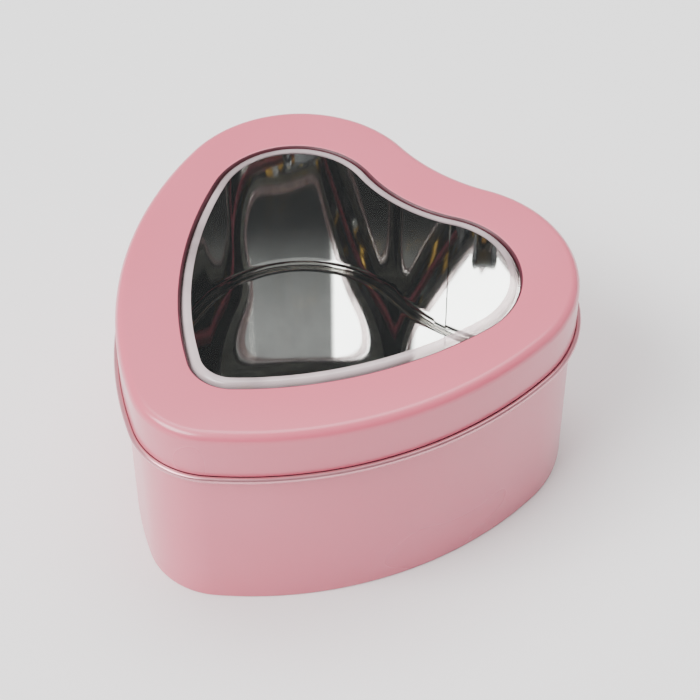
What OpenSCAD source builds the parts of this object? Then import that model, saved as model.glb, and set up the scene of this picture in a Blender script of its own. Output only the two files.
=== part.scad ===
// Heart-shaped window tin with a wind-up musical movement inside.
// Millimetres, +Z up. The origin is on the table, under the centre of the tin.
// The heart's tip points to -Y and its cleft to +Y.

/* [Heart outline of the lid] */
// Radius of the two lobes
lobe_radius = 28.9; // [26:0.1:32]
// How much larger the radius of the upper side is than the lobe's
upper_step = 55.9375; // [50:0.3125:62]
// How much smaller the radius of the lower side is than the upper side's
side_step = -0.15; // [-6:0.07:8]
// How much larger the radius of the lower side is than the tip's
lower_step = 66.8125; // [60:0.0625:72]
// Position of the rounded tip's centre
tip_y = -31.4; // [-36:0.1:-26]

/* [Heart outline of the window] */
// Radius of the window's lobes
window_lobe_radius = 18.8; // [16:0.1:22]
// How much larger the radius of the window's upper side is than its lobe's
window_upper_step = 70.49; // [60:0.11:80]
// How much smaller the radius of the window's lower side is than its upper side's
window_side_step = 5.29; // [-6:0.11:8]
// How much larger the radius of the window's lower side is than its tip's
window_lower_step = 74.63; // [68:0.11:80]
// Position of the window tip's centre
window_tip_y = -25.4; // [-30:0.1:-20]

/* [Tin] */
// Height of the lid's top face above the table
lid_height = 53; // [45:0.5:65]
// Thickness of the tinplate
sheet = 0.3; // [0.2:0.05:0.5]
// Outer radius where the lid's top turns into its skirt
lid_fillet = 2.2; // [1:0.1:4]
// Outer radius of the curls on the lid's skirt and the body's mouth
curl_radius = 0.7; // [0.5:0.05:1]
// Height of the lowest point of the lid
skirt_bottom = 39.9; // [30:0.1:48]
// Gap between the lid's skirt and the body
lid_gap = 0.5; // [0.2:0.05:1]
// Height of the floor's upper face above the table
floor_top = 4.3; // [4:0.1:12]
// Outer radius of the bend between floor and flange
floor_bend = 2; // [1:0.1:4]
// Width of the body's lapped side seam
seam_width = 3; // [2:0.5:5]

/* [Window] */
// Thickness of the clear pane
pane = 0.3; // [0.2:0.05:0.6]
// How far the pane's raised part stands above the lid
pane_rise = 0.4; // [0:0.1:1.5]
// Radius of the pane's raised edge
pane_edge = 1.2; // [0.6:0.1:2]
// Width of the ring that glues the pane under the lid
glue_width = 2.8; // [1.5:0.1:4]

/* [Movement position] */
// Position of the movement along X
movement_x = 12; // [-10:0.5:20]
// Position of the movement along Y
movement_y = -10; // [-20:0.5:10]
// Turn of the movement about Z
movement_angle = 222; // [0:1:359]

/* [Movement] */
// Thickness of the bedplate
bedplate = 2.5; // [1.5:0.1:4]
// Distance of the spring barrel's axis from the movement's origin
barrel_x = -12.5; // [-14:0.1:-12]
// Height of the music cylinder's axis above the floor
axis_z = 9.5; // [8:0.1:12]
// Radius of the music cylinder
cylinder_radius = 6; // [5:0.1:6.2]
// How far the cylinder's pins stand out
pin_height = 0.45; // [0.3:0.05:0.5]
// Number of teeth on the comb
comb_teeth = 17; // [12:1:17]
// Spacing of the comb's teeth
comb_pitch = 1.05; // [0.9:0.05:1.05]
// Number of melody pins for each tooth of the comb
pins_per_tooth = 5; // [2:1:8]
// Radius of the spring drum
drum_radius = 9.9; // [8:0.1:10]
// Width of the flat winding key
key_width = 17.4; // [12:0.2:18]
// Depth of the winding key's underside below the floor's upper face
key_depth = 3.6; // [3.4:0.1:4]
// Radius of the air brake's fan
fan_radius = 3.4; // [2:0.1:3.4]

/* [View] */
// Which piece to show

/* [Hidden] */
$fn = 96;
curve_fn = 180;
screw_fn = 36;

// A heart is a list: lobe radius, upper step, side step, lower step, tip y, then the headings
// at which lobe meets side, side bends, side meets tip and lobe meets cleft.
// The headings are exact fractions, so that neighbouring arcs end on the very same line.
side_bend = [0.8, -0.6];
tin = [
  lobe_radius, upper_step, side_step, lower_step, tip_y,
  [0.99712, -0.07584], side_bend, [0.5376, -0.8432], [-0.28, 0.96]
];
window = [
  window_lobe_radius, window_upper_step, window_side_step, window_lower_step, window_tip_y,
  [0.96, -0.28], side_bend, [0.6, -0.8], [-0.352, 0.936]
];

// Levels and offsets of the tin
body_out = -(sheet + lid_gap);
body_in = body_out - sheet;
curl_z = skirt_bottom + curl_radius;
mouth_z = lid_height - lid_fillet + 0.6;
hem_width = 1.2;
hem_height = 2.2;
hem_corner = 0.5;
flange_foot = 0.6;
overlap = 1.2;
edge_fold = 0.8;
edge_lip = 0.4;
flange_top = lid_height - edge_fold - edge_lip - 0.1;
flange_width = 4.2;
pane_gap = 0.35;
pane_top = lid_height + pane_rise;

// Movement, heights above the floor
wheel_z = 3;
wheel_top = 4.5;
crown_top = 6.3;
crown_inner = 10.9;
crown_outer = 13.1;
crown_teeth = 30;
drum_top = 15.5;
cover_top = 16.1;
ratchet_z = 16.8;
ratchet_top = 17.6;
bridge_z = 17.9;
bridge_top = 19.2;
bridge_angle = -50;
post_distance = 15.3;
post_radius = 1.6;
arbor_radius = 1.5;
// Solid metal under the arbor's end in the winding key
key_floor = 0.3;
running = 0.05;
click_turn = 48;
click_pivot = [5, -5.5];
ratchet_count = 12;
ratchet_root = 3.7;
ratchet_tip = 4.6;
shaft_radius = 0.75;
cylinder_start = 3;
cylinder_end = 20.6;
first_tooth_x = 3.4;
comb_tip_y = -(cylinder_radius + pin_height + 0.15);
comb_thickness = 0.9;
comb_z = axis_z - comb_thickness / 2;
comb_back = -23.5;
comb_left = 2.4;
comb_right = 21.2;
comb_root_left = -19.6;
comb_root_right = -14.4;
comb_hole_x = [6.2, 17.4];
comb_hole_y = -21.3;
transfer_y = 7.9;
transfer_z = 12.36;
thin_shaft = 0.6;
worm_x = 26;
worm_y = 14.15;
worm_pitch = PI * 0.5;
frame_base_top = bedplate + 0.9;
movement_screw_spots = [[-3.5, 11.5], [27, 1], [11.5, -18], [-20.5, -8.5]];
bracket_screw_spots = [[3.9, 9], [26.6, -5.6]];
governor_screw_spots = [[23.6, 7.9], [22.6, 16.2]];

// ---- Heart geometry ----

function upper_r(h) = h[0] + h[1];
function lower_r(h) = upper_r(h) - h[2];
function tip_r(h) = lower_r(h) - h[3];
function tip(h) = [0, h[4]];
function lower(h) = tip(h) - h[3] * h[7];
function upper(h) = lower(h) - h[2] * h[6];
function lobe(h) = upper(h) + h[1] * h[5];
function cleft_reach(h) = -lobe(h)[0] / h[8][0];
function cleft(h) = lobe(h) + cleft_reach(h) * h[8];
function cleft_r(h) = cleft_reach(h) - h[0];
function flipped(p) = [-p[0], p[1]];
function middle(a, b) = (a + b) / norm(a + b);

short_reach = 50;
long_reach = 100;
inner_reach = 75;

// The sector between two headings, used to cut an arc to its length
module sector(centre, from, to, reach) {
  polygon([
    centre, centre + reach * from,
    centre + 2 * reach * middle(from, to), centre + reach * to
  ]);
}

// One arc of the outline: a full ring cut to a sector
module arc_piece(centre, radius, from, to, reach) {
  intersection() {
    translate(centre)
      rotate_extrude($fn = curve_fn)
        translate([radius, 0])
          children();
    translate([0, 0, -1])
      linear_extrude(lid_height + 5)
        sector(centre, from, to, reach);
  }
}

// Sweeps a profile round the outline. The profile's x is the distance outside the outline.
module sweep_heart(h) {
  for (flip = [0, 1])
    mirror([flip, 0, 0]) {
      arc_piece(lobe(h), h[0], h[5], h[8], short_reach) children();
      arc_piece(upper(h), upper_r(h), h[6], h[5], long_reach) children();
      arc_piece(lower(h), lower_r(h), h[7], h[6], long_reach) children();
    }
  arc_piece(tip(h), tip_r(h), flipped(h[7]), h[7], short_reach) children();
  arc_piece(cleft(h), cleft_r(h), -h[8], -flipped(h[8]), short_reach) mirror([1, 0]) children();
}

// A segment between two headings, reaching in to two given points instead of the arc's centre
module side_piece(centre, radius, from, to, from_point, to_point) {
  intersection() {
    translate(centre) circle(r = radius, $fn = curve_fn);
    polygon([
      from_point, centre + long_reach * from,
      centre + 2 * long_reach * middle(from, to), centre + long_reach * to, to_point
    ]);
  }
}

// The flat heart, grown by the given offset
module flat_heart(h, grow) {
  bend = upper(h) + inner_reach * h[6];
  for (flip = [0, 1])
    mirror([flip, 0]) {
      intersection() {
        translate(lobe(h)) circle(r = h[0] + grow, $fn = curve_fn);
        sector(lobe(h), h[5], h[8], short_reach);
      }
      side_piece(upper(h), upper_r(h) + grow, h[6], h[5], bend, lobe(h));
      side_piece(lower(h), lower_r(h) + grow, h[7], h[6], tip(h), bend);
    }
  intersection() {
    translate(tip(h)) circle(r = tip_r(h) + grow, $fn = curve_fn);
    sector(tip(h), flipped(h[7]), h[7], short_reach);
  }
  polygon([tip(h), bend, lobe(h), flipped(lobe(h)), flipped(bend)]);
  difference() {
    polygon([lobe(h), cleft(h), flipped(lobe(h))]);
    translate(cleft(h)) circle(r = cleft_r(h) - grow, $fn = curve_fn);
  }
}

// A quarter of a ring; quadrant 0 is right and up, counted anticlockwise
module quarter_ring(centre, outer, inner, quadrant) {
  translate(centre)
    rotate([0, 0, 90 * quadrant])
      intersection() {
        difference() {
          circle(r = outer);
          circle(r = inner);
        }
        square(outer + 1);
      }
}

module strip(x0, x1, z0, z1) {
  translate([x0, z0]) square([x1 - x0, z1 - z0]);
}

// An open curl of sheet round a centre; the slit lies above the sheet's inner side
module open_curl(centre) {
  translate(centre)
    difference() {
      circle(r = curl_radius);
      circle(r = curl_radius - sheet);
      polygon([[0, 0], [-1, 1.7], [-2, 1.7], [-2, 0]]);
    }
}

// ---- Tin ----

module lid_rim_profile() {
  strip(-lid_fillet - overlap, -lid_fillet, lid_height - sheet, lid_height);
  quarter_ring([-lid_fillet, lid_height - lid_fillet], lid_fillet, lid_fillet - sheet, 0);
  strip(-sheet, 0, curl_z, lid_height - lid_fillet);
  open_curl([curl_radius - sheet, curl_z]);
}

module window_edge_profile() {
  strip(edge_fold, edge_fold + overlap, lid_height - sheet, lid_height);
  quarter_ring([edge_fold, lid_height - edge_fold], edge_fold, edge_fold - sheet, 1);
  strip(0, sheet, lid_height - edge_fold - edge_lip, lid_height - edge_fold);
}

module lid_shell() {
  color([0.86, 0.55, 0.6])
    union() {
      sweep_heart(tin) lid_rim_profile();
      sweep_heart(window) window_edge_profile();
      translate([0, 0, lid_height - sheet])
        linear_extrude(sheet)
          difference() {
            flat_heart(tin, -lid_fillet - overlap / 2);
            flat_heart(window, edge_fold + overlap / 2);
          }
    }
}

module window_adhesive_ring() {
  color([0.8, 0.8, 0.76])
    translate([0, 0, flange_top])
      linear_extrude(lid_height - sheet - flange_top)
        difference() {
          flat_heart(window, edge_fold + 0.1 + glue_width);
          flat_heart(window, edge_fold + 0.1);
        }
}

module pane_profile() {
  rise_x = -pane_gap;
  bend_x = rise_x - pane_edge;
  strip(rise_x - pane, flange_width, flange_top - pane, flange_top);
  strip(rise_x - pane, rise_x, flange_top, pane_top - pane_edge);
  quarter_ring([bend_x, pane_top - pane_edge], pane_edge, pane_edge - pane, 0);
  strip(bend_x - overlap, bend_x, pane_top - pane, pane_top);
}

module window_pane() {
  color([0.85, 0.9, 0.92, 0.35])
    union() {
      sweep_heart(window) pane_profile();
      translate([0, 0, pane_top - pane])
        linear_extrude(pane)
          flat_heart(window, -pane_gap - pane_edge - overlap / 2);
    }
}

module body_profile() {
  strip(body_in, body_out, hem_corner, mouth_z);
  translate([body_out - curl_radius, mouth_z]) curl_at_mouth();
  hem_left = body_out - hem_width;
  quarter_ring([body_out - hem_corner, hem_corner], hem_corner, hem_corner - sheet, 3);
  strip(hem_left + hem_corner, body_out - hem_corner, 0, sheet);
  quarter_ring([hem_left + hem_corner, hem_corner], hem_corner, hem_corner - sheet, 2);
  strip(hem_left, hem_left + sheet, hem_corner, hem_height);
}

// The mouth's curl turns inwards and stops just short of the wall
module curl_at_mouth() {
  difference() {
    circle(r = curl_radius);
    circle(r = curl_radius - sheet);
    polygon([[0, 0], [1, -1.7], [2, -1.7], [2, 0]]);
  }
}

module body_wall() {
  seam_turn = 1.2;
  seam_radius = cleft_r(tin) - body_in;
  seam_arc = seam_width / seam_radius * 180 / PI;
  color([0.84, 0.52, 0.57])
    union() {
      sweep_heart(tin) body_profile();
      // Inner lap of the side seam
      translate(cleft(tin))
        rotate([0, 0, -90 + seam_turn])
          rotate_extrude(angle = seam_arc, $fn = curve_fn)
            strip(seam_radius - sheet / 2, seam_radius + sheet, floor_top + 0.4, mouth_z - 1.2);
    }
}

module floor_profile() {
  bend_x = body_in - floor_bend;
  strip(body_in - sheet, body_in, flange_foot, floor_top - floor_bend);
  quarter_ring([bend_x, floor_top - floor_bend], floor_bend, floor_bend - sheet, 0);
  strip(bend_x - overlap, bend_x, floor_top - sheet, floor_top);
}

module in_movement() {
  translate([movement_x, movement_y, floor_top])
    rotate([0, 0, movement_angle])
      children();
}

module floor_pan() {
  color([0.72, 0.72, 0.73])
    difference() {
      union() {
        sweep_heart(tin) floor_profile();
        translate([0, 0, floor_top - sheet])
          linear_extrude(sheet)
            flat_heart(tin, body_in - floor_bend - overlap / 2);
      }
      in_movement() {
        translate([barrel_x, 0, -2]) cylinder(h = 3, r = 2.6);
        for (spot = movement_screw_spots)
          translate([spot[0], spot[1], -2]) cylinder(h = 3, r = 1.35, $fn = screw_fn);
      }
    }
}

// ---- Shared movement shapes ----

// A countersunk-free cheese-head screw, head upwards, seated at z = 0
module screw(head_radius, head_height, shank_radius, length) {
  difference() {
    cylinder(h = head_height, r = head_radius, $fn = screw_fn);
    translate([-head_radius - 1, -0.2, head_height * 0.55])
      cube([2 * head_radius + 2, 0.4, head_height]);
  }
  translate([0, 0, -length])
    cylinder(h = length, r = shank_radius, $fn = screw_fn);
}

function polar(r, a) = [r * cos(a), r * sin(a)];

// A gear outline with slim, straight-flanked teeth; one tooth points along +X
module gear_outline(teeth, gear_module, slim, addendum) {
  pitch = 360 / teeth;
  root = gear_module * (teeth / 2 - 1.2);
  middle = gear_module * teeth / 2;
  crest = gear_module * (teeth / 2 + addendum);
  polygon([
    for (i = [0 : teeth - 1])
      for (p = [[root, -0.28], [middle, -0.25 * slim], [crest, -0.1], [crest, 0.1],
                [middle, 0.25 * slim], [root, 0.28]])
        polar(p[0], (i + p[1]) * pitch)
  ]);
}

// Stands children up so that their +Z runs along +X
module along_x(x, y, z) {
  translate([x, y, z]) rotate([0, 90, 0]) children();
}

module at_barrel() {
  in_movement() translate([barrel_x, 0, 0]) children();
}

module tube(outer, inner, height) {
  difference() {
    cylinder(h = height, r = outer);
    translate([0, 0, -1]) cylinder(h = height + 2, r = inner);
  }
}

// ---- Bedplate and fastenings ----

module bedplate_outline() {
  post_spots = [for (s = [-1, 1]) [barrel_x, 0] + s * post_distance * [cos(bridge_angle), sin(bridge_angle)]];
  polygon([
    [-24, -9.5], [-18, -14], [0, -14], [1, -24.5], [22, -24.5], [25.5, -19],
    [29.5, -6], [29.5, 16], [27.5, 18], [18.5, 18], [13.5, 14], [-18, 14], [-24, 9.5]
  ]);
  for (spot = post_spots)
    translate(spot) circle(r = 2.8);
}

module bedplate_casting() {
  color([0.66, 0.66, 0.68])
    in_movement()
      difference() {
        union() {
          linear_extrude(bedplate) bedplate_outline();
          translate([barrel_x, 0, 0]) cylinder(h = wheel_z - running, r = 3.2);
        }
        translate([barrel_x, 0, -1]) cylinder(h = 6, r = arbor_radius + running);
        // Relief for the cylinder's wheel
        translate([21.4, -4.5, bedplate - 1.1]) cube([2.6, 9, 3]);
        for (spot = movement_screw_spots)
          translate([spot[0], spot[1], -1]) cylinder(h = 3, r = 1.25, $fn = screw_fn);
        for (spot = concat(bracket_screw_spots, governor_screw_spots))
          translate([spot[0], spot[1], 0.6]) cylinder(h = 4, r = 0.7, $fn = screw_fn);
        for (x = comb_hole_x)
          translate([x, comb_hole_y, 0.6]) cylinder(h = 4, r = 1, $fn = screw_fn);
      }
}

module movement_screws() {
  color([0.75, 0.72, 0.6])
    in_movement()
      for (spot = movement_screw_spots)
        translate([spot[0], spot[1], -sheet - 0.4])
          rotate([180, 0, 0])
            screw(2.1, 1.3, 1.25, 2.4);
}

module movement_washers() {
  color([0.7, 0.7, 0.7])
    in_movement()
      for (spot = movement_screw_spots)
        translate([spot[0], spot[1], -sheet - 0.4])
          tube(2.5, 1.35, 0.4, $fn = screw_fn);
}

// ---- Spring barrel and winding ----

module great_wheel() {
  color([0.78, 0.65, 0.35])
    at_barrel()
      union() {
        translate([0, 0, wheel_z]) tube(crown_outer, arbor_radius + running, wheel_top - wheel_z);
        intersection() {
          translate([0, 0, wheel_top - 0.2]) tube(crown_outer, crown_inner, 3);
          for (i = [0 : crown_teeth - 1])
            rotate([0, 0, (i + 0.5) * 360 / crown_teeth])
              translate([crown_inner - 1, 0, 0])
                rotate([90, 0, 90])
                  linear_extrude(crown_outer - crown_inner + 2)
                    polygon([
                      [-0.66, wheel_top - 0.2], [0.66, wheel_top - 0.2],
                      [0.28, crown_top], [-0.28, crown_top]
                    ]);
        }
      }
}

module spring_drum() {
  color([0.8, 0.68, 0.4])
    at_barrel()
      translate([0, 0, wheel_top]) tube(drum_radius, drum_radius - 0.5, drum_top - wheel_top);
}

module drum_cover() {
  color([0.8, 0.68, 0.4])
    at_barrel()
      translate([0, 0, drum_top]) tube(drum_radius, arbor_radius + running, cover_top - drum_top);
}

module mainspring() {
  turns = 9;
  steps = 24 * turns;
  inner = 2.65;
  outer = drum_radius - 0.5 - 0.05;
  strip_thickness = 0.32;
  function spiral(i, shift) = polar(
    inner + shift + (outer - strip_thickness - inner) * i / steps, i * 360 * turns / steps
  );
  color([0.35, 0.37, 0.42])
    at_barrel()
      translate([0, 0, 5.2])
        linear_extrude(9.8)
          polygon(concat(
            [for (i = [0 : steps]) spiral(i, strip_thickness)],
            [for (i = [steps : -1 : 0]) spiral(i, 0)]
          ));
}

module winding_arbor() {
  color([0.6, 0.62, 0.65])
    at_barrel()
      rotate_extrude()
        polygon([
          [0, key_floor - key_depth], [arbor_radius, key_floor - key_depth],
          [arbor_radius, 4.9], [2.5, 4.9], [2.5, 15.1],
          [arbor_radius, 15.1], [arbor_radius, ratchet_top], [1, ratchet_top],
          [1, bridge_top - 0.2], [0, bridge_top - 0.2]
        ]);
}

module winding_key() {
  disc_thickness = 1.5;
  hub_height = key_depth - 0.9;
  notches = 10;
  notch_radius = 1.6;
  finger_hole_radius = 1.9;
  finger_hole_x = 5.4;
  color([0.76, 0.74, 0.68])
    at_barrel()
      translate([0, 0, -key_depth])
        difference() {
          union() {
            cylinder(h = hub_height, r = 3);
            linear_extrude(disc_thickness)
              difference() {
                circle(r = key_width / 2);
                for (i = [0 : notches - 1])
                  rotate([0, 0, 360 * (i + 0.5) / notches])
                    translate([key_width / 2 + 0.6, 0]) circle(r = notch_radius);
                for (side = [-1, 1])
                  translate([side * finger_hole_x, 0]) circle(r = finger_hole_radius);
              }
          }
          translate([0, 0, key_floor]) cylinder(h = 8, r = arbor_radius);
        }
}

module ratchet_wheel() {
  step = 360 / ratchet_count;
  color([0.7, 0.72, 0.74])
    at_barrel()
      rotate([0, 0, bridge_angle + 180 + click_turn])
        translate([0, 0, ratchet_z])
          linear_extrude(ratchet_top - ratchet_z)
            difference() {
              polygon([
                for (i = [0 : ratchet_count - 1])
                  for (r = [ratchet_root, ratchet_tip])
                    polar(r, i * step)
              ]);
              circle(r = arbor_radius);
            }
}

// The bridge's own frame: +X runs from the barrel's axis to the click's side
module at_bridge() {
  at_barrel() rotate([0, 0, bridge_angle + 180]) children();
}

click_spot = [
  click_pivot[0] * cos(click_turn) - click_pivot[1] * sin(click_turn),
  click_pivot[0] * sin(click_turn) + click_pivot[1] * cos(click_turn)
];

module barrel_bridge() {
  color([0.66, 0.66, 0.68])
    at_bridge()
      difference() {
        union() {
          translate([0, 0, bridge_z])
            linear_extrude(bridge_top - bridge_z) {
              for (s = [-1, 1])
                translate([s * post_distance, 0]) circle(r = 2.5);
              translate([-post_distance, -2.5]) square([2 * post_distance, 5]);
            }
          // Lug that holds the click's spring
          translate([11, 1.2, ratchet_z + 0.1]) cylinder(h = bridge_z - ratchet_z, r = 0.9, $fn = screw_fn);
        }
        translate([0, 0, bridge_z - 1]) cylinder(h = 4, r = 1 + running);
        translate([click_spot[0], click_spot[1], bridge_z - 1]) cylinder(h = 4, r = 0.7, $fn = screw_fn);
        for (s = [-1, 1])
          translate([s * post_distance, 0, bridge_z - 1]) cylinder(h = 4, r = 1, $fn = screw_fn);
      }
}

module bridge_posts() {
  color([0.7, 0.7, 0.72])
    at_bridge()
      for (s = [-1, 1])
        translate([s * post_distance, 0, bedplate])
          difference() {
            cylinder(h = bridge_z - bedplate, r = post_radius);
            translate([0, 0, bridge_z - bedplate - 5]) cylinder(h = 6, r = 1, $fn = screw_fn);
          }
}

module bridge_screws() {
  color([0.75, 0.72, 0.6])
    at_bridge()
      for (s = [-1, 1])
        translate([s * post_distance, 0, bridge_top])
          rotate([0, 0, 30 * s])
            screw(1.9, 1, 1, 5.5);
}

module click() {
  thickness = ratchet_top - ratchet_z;
  color([0.62, 0.64, 0.68])
    at_bridge()
      rotate([0, 0, click_turn])
        translate([0, 0, ratchet_z])
          difference() {
            union() {
              linear_extrude(thickness)
                polygon([
                  [3.95, -0.12], [4.65, -0.12], [5.7, -2.5], click_pivot + [1.2, 0.4],
                  click_pivot + [-1.2, 0.2], [4.3, -2]
                ]);
              translate(click_pivot) cylinder(h = thickness, r = 1.5, $fn = screw_fn);
            }
            translate([click_pivot[0], click_pivot[1], -1])
              cylinder(h = thickness + 2, r = 0.7 + running, $fn = screw_fn);
          }
}

module click_screw() {
  color([0.75, 0.72, 0.6])
    at_bridge()
      translate([click_spot[0], click_spot[1], ratchet_z - 0.05])
        rotate([180, 0, 0])
          screw(1.4, 0.5, 0.7, bridge_top - ratchet_z);
}

module click_spring() {
  color([0.4, 0.43, 0.5])
    at_bridge()
      translate([0, 0, ratchet_z + 0.15])
        linear_extrude(0.5)
          polygon([
            [11.1, 2.1], [10.6, 2.1], [8.2, 3.3], [5.95, 3.35],
            [5.95, 3.6], [8.3, 3.55], [11.1, 2.35]
          ]);
}

// ---- Music cylinder ----

module music_cylinder() {
  length = cylinder_end - cylinder_start;
  end_wall = 0.8;
  bore = cylinder_radius - 0.5;
  color([0.82, 0.7, 0.4])
    in_movement()
      along_x(cylinder_start, 0, axis_z)
        rotate_extrude()
          polygon([
            [shaft_radius, 0], [cylinder_radius, 0], [cylinder_radius, length],
            [shaft_radius, length], [shaft_radius, length - end_wall],
            [bore, length - end_wall], [bore, end_wall], [shaft_radius, end_wall]
          ]);
}

module cylinder_pins() {
  golden_turn = 137.5;
  spread = 360 / pins_per_tooth;
  color([0.75, 0.76, 0.78])
    in_movement()
      difference() {
        for (i = [0 : comb_teeth - 1])
          for (k = [0 : pins_per_tooth - 1])
            translate([first_tooth_x + i * comb_pitch, 0, axis_z])
              rotate([i * golden_turn + k * spread + 17 * sin(i * 53 + k * 71), 0, 0])
                translate([0, 0, cylinder_radius - 0.2])
                  cylinder(h = pin_height + 0.2, r = 0.15, $fn = 16);
        along_x(0, 0, axis_z) cylinder(h = 30, r = cylinder_radius);
      }
}

module cylinder_arbor() {
  color([0.6, 0.62, 0.65])
    in_movement()
      along_x(-1.9, 0, axis_z)
        cylinder(h = 27.6, r = shaft_radius, $fn = screw_fn);
}

module cylinder_pinion() {
  color([0.8, 0.68, 0.4])
    in_movement()
      along_x(-1.6, 0, axis_z)
        linear_extrude(2.3)
          difference() {
            gear_outline(10, 0.8, 0.8, 0.9);
            circle(r = shaft_radius, $fn = screw_fn);
          }
}

module cylinder_wheel() {
  mesh_turn = atan2(transfer_y, axis_z - transfer_z);
  color([0.8, 0.68, 0.4])
    in_movement()
      along_x(22, 0, axis_z)
        linear_extrude(1.4)
          difference() {
            rotate([0, 0, mesh_turn]) gear_outline(40, 0.35, 0.75, 0.85);
            circle(r = shaft_radius, $fn = screw_fn);
          }
}

// An upright bearing plate with a rounded top
module bearing_plate(x, y_low, y_high, thickness) {
  difference() {
    union() {
      translate([x, y_low, bedplate]) cube([thickness, y_high - y_low, axis_z - bedplate]);
      along_x(x, (y_low + y_high) / 2, axis_z) cylinder(h = thickness, r = (y_high - y_low) / 2);
    }
    along_x(x - 1, 0, axis_z) cylinder(h = thickness + 2, r = shaft_radius + running, $fn = screw_fn);
  }
}

module left_bearing_bracket() {
  color([0.78, 0.66, 0.38])
    in_movement()
      difference() {
        union() {
          bearing_plate(1.3, -2.4, 2.4, 1.2);
          translate([1.3, 2.4, bedplate]) cube([1.2, 8.8, 1.4]);
          translate([1.3, 6.9, bedplate]) cube([4.8, 4.3, 1]);
        }
        translate([bracket_screw_spots[0][0], bracket_screw_spots[0][1], 0])
          cylinder(h = 9, r = 0.75, $fn = screw_fn);
      }
}

module right_bearing_bracket() {
  color([0.78, 0.66, 0.38])
    in_movement()
      difference() {
        union() {
          bearing_plate(24, -2.2, 2.2, 1.1);
          translate([24, -8, bedplate]) cube([1.1, 5.8, 1.4]);
          translate([24, -8, bedplate]) cube([4.8, 4.6, 1]);
        }
        translate([bracket_screw_spots[1][0], bracket_screw_spots[1][1], 0])
          cylinder(h = 9, r = 0.75, $fn = screw_fn);
      }
}

module bracket_screws() {
  color([0.75, 0.72, 0.6])
    in_movement()
      for (spot = bracket_screw_spots)
        translate([spot[0], spot[1], bedplate + 1]) screw(1.4, 0.8, 0.7, 2.6);
}

// ---- Comb ----

function comb_root(x) = comb_root_left
  + (comb_root_right - comb_root_left) * (x - comb_left) / (comb_right - comb_left);

module comb() {
  tooth_width = 0.82;
  color([0.72, 0.74, 0.77])
    in_movement()
      translate([0, 0, comb_z])
        linear_extrude(comb_thickness)
          difference() {
            union() {
              polygon([
                [comb_left, comb_back], [comb_right, comb_back],
                [comb_right, comb_root_right], [comb_left, comb_root_left]
              ]);
              for (i = [0 : comb_teeth - 1])
                let (x = first_tooth_x + i * comb_pitch, root = comb_root(x) - 0.6)
                  translate([x - tooth_width / 2, root])
                    square([tooth_width, comb_tip_y - root]);
            }
            for (x = comb_hole_x)
              translate([x, comb_hole_y]) circle(r = 1.1, $fn = screw_fn);
          }
}

module comb_base() {
  color([0.66, 0.66, 0.68])
    in_movement()
      difference() {
        translate([comb_left, comb_back, bedplate])
          cube([comb_right - comb_left, 3.7, comb_z - bedplate]);
        for (x = comb_hole_x)
          translate([x, comb_hole_y, 0]) cylinder(h = 12, r = 1 + running, $fn = screw_fn);
      }
}

module comb_screws() {
  color([0.75, 0.72, 0.6])
    in_movement()
      for (x = comb_hole_x)
        translate([x, comb_hole_y, comb_z + comb_thickness])
          rotate([0, 0, 3 * x])
            screw(1.9, 1.2, 1, 9);
}

module comb_tuning_weights() {
  color([0.45, 0.46, 0.48])
    in_movement()
      for (i = [0 : 5])
        translate([
          first_tooth_x + i * comb_pitch - 0.36, comb_tip_y - 3.4 + 0.15 * i,
          comb_z - 2 + 0.25 * i
        ])
          cube([0.72, 3 - 0.15 * i, 2 - 0.25 * i]);
}

// ---- Governor ----

module transfer_arbor() {
  color([0.6, 0.62, 0.65])
    in_movement()
      along_x(20, transfer_y, transfer_z)
        cylinder(h = 8.9, r = thin_shaft, $fn = screw_fn);
}

module transfer_pinion() {
  mesh_turn = atan2(-transfer_y, transfer_z - axis_z);
  color([0.6, 0.62, 0.65])
    in_movement()
      along_x(21.7, transfer_y, transfer_z)
        linear_extrude(2)
          difference() {
            rotate([0, 0, mesh_turn + 22.5]) gear_outline(8, 0.35, 0.75, 0.85);
            circle(r = thin_shaft, $fn = screw_fn);
          }
}

module worm_wheel() {
  color([0.8, 0.68, 0.4])
    in_movement()
      along_x(worm_x - 0.5, transfer_y, transfer_z)
        linear_extrude(1)
          difference() {
            rotate([0, 0, 90]) gear_outline(20, 0.5, 0.55, 0.66);
            circle(r = thin_shaft, $fn = screw_fn);
          }
}

module governor_worm() {
  thread_height = 6;
  offset_from_axis = 0.4;
  thread_turns = thread_height / worm_pitch;
  color([0.7, 0.72, 0.74])
    in_movement()
      translate([worm_x, worm_y, 0])
        union() {
          translate([0, 0, 3]) cylinder(h = 14.9, r = thin_shaft, $fn = 24);
          translate([0, 0, transfer_z - thread_height / 2])
            rotate([0, 0, 90 - 180 * thread_turns])
              linear_extrude(thread_height, twist = -360 * thread_turns, slices = 60, $fn = 20)
                translate([offset_from_axis, 0]) circle(r = 1.2, $fn = 20);
        }
}

module governor_fan() {
  color([0.85, 0.85, 0.8])
    in_movement()
      translate([worm_x, worm_y, 4.7])
        difference() {
          union() {
            cylinder(h = 2.6, r = 1.1, $fn = screw_fn);
            rotate([0, 0, 25])
              translate([-fan_radius, -0.15, 0]) cube([2 * fan_radius, 0.3, 2.6]);
          }
          translate([0, 0, -1]) cylinder(h = 5, r = thin_shaft, $fn = 24);
        }
}

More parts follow.
